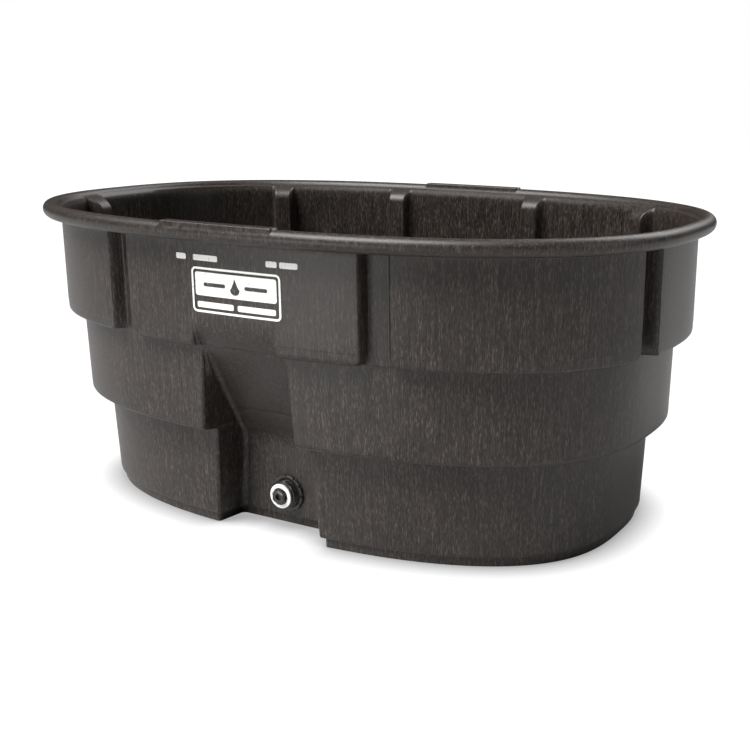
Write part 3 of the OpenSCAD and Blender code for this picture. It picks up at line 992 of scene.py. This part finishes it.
def light_world(strength):
    """White to look at, with a dimmer even light on the trough."""
    world = bpy.data.worlds.new("studio_world")
    world.use_nodes = True
    tree = world.node_tree
    tree.nodes.clear()
    seen, cast = (
        add_node(tree, "ShaderNodeBackground", None, {"Color": grey(1.0), "Strength": power})
        for power in (1.0, strength))
    path = add_node(tree, "ShaderNodeLightPath")
    both = add_node(
        tree, "ShaderNodeMixShader", None,
        {0: path.outputs["Is Camera Ray"], 1: cast.outputs[0], 2: seen.outputs[0]})
    add_node(tree, "ShaderNodeOutputWorld", None, {"Surface": both.outputs[0]})
    bpy.context.scene.world = world


def soft_sun(name, around, height, power, spread):
    """Broad even light, as from a big silk far away. Around is its direction in degrees,
    0 in front and 90 on the right, and height its angle above the floor."""
    lamp = bpy.data.lights.new(name, "SUN")
    lamp.energy = power
    lamp.angle = math.radians(spread)
    made = bpy.data.objects.new(name, lamp)
    around, height = math.radians(around), math.radians(height)
    towards = Vector((math.sin(around) * math.cos(height),
                      -math.cos(around) * math.cos(height), math.sin(height)))
    made.rotation_euler = towards.to_track_quat("Z", "Y").to_euler()
    bpy.context.scene.collection.objects.link(made)


class TROUGH_OT_studio(bpy.types.Operator):
    """Builds the pale floor, the soft lights and the camera."""

    bl_idname = "trough.studio"
    bl_label = "Studio"

    def execute(self, context):
        settings = context.scene.trough_studio
        paper_floor(seamless_paper())
        context.scene.view_settings.view_transform = "Standard"
        light_world(0.02)
        soft_sun("overhead_silk", -38, 57, 6.8, 36)
        soft_sun("rear_silk", 165, 42, 2.2, 40)
        softbox("front_softbox", (-1.0, -3.0, 0.2), (-0.1, -0.5, -0.1), (1.0, 0.5), 3.6, 60)
        softbox("right_softbox", (2.7, -0.3, 1.3), (0.6, 0.0, 0.5), (0.9, 1.2), 1.2, 60)
        place_camera(settings)
        return {"FINISHED"}


# ---------- panel and registration ----------

class TROUGH_PT_panel(bpy.types.Panel):
    """Lists the settings and the building steps."""

    bl_idname = "TROUGH_PT_panel"
    bl_label = "Water trough"
    bl_space_type = "VIEW_3D"
    bl_region_type = "UI"
    bl_category = "Trough"

    def draw(self, context):
        for group in GROUPS:
            box = self.layout.box()
            settings = getattr(context.scene, group)
            for key in GROUPS[group].__annotations__:
                box.prop(settings, key)
        for operator in OPERATORS:
            self.layout.operator(operator.bl_idname)


GROUPS = {
    "trough_tank": TankSettings,
    "trough_fitting": FittingSettings,
    "trough_studio": StudioSettings,
}
OPERATORS = (
    TROUGH_OT_studio, TROUGH_OT_tank, TROUGH_OT_drain_fitting, TROUGH_OT_plug,
    TROUGH_OT_label)


def register():
    """Adds the settings, the operators and the panel to Blender."""
    for group in GROUPS.values():
        bpy.utils.register_class(group)
    for name, group in GROUPS.items():
        setattr(bpy.types.Scene, name, bpy.props.PointerProperty(type=group))
    for cls in (*OPERATORS, TROUGH_PT_panel):
        bpy.utils.register_class(cls)


def unregister():
    """Takes them out again, in reverse order."""
    for cls in reversed((*OPERATORS, TROUGH_PT_panel)):
        bpy.utils.unregister_class(cls)
    for name in GROUPS:
        delattr(bpy.types.Scene, name)
    for group in reversed(GROUPS.values()):
        bpy.utils.unregister_class(group)


def main():
    register()
    bpy.ops.trough.studio()
    bpy.ops.trough.tank()
    bpy.ops.trough.drain_fitting()
    bpy.ops.trough.plug()
    bpy.ops.trough.label()


if __name__ == "__main__":
    main()
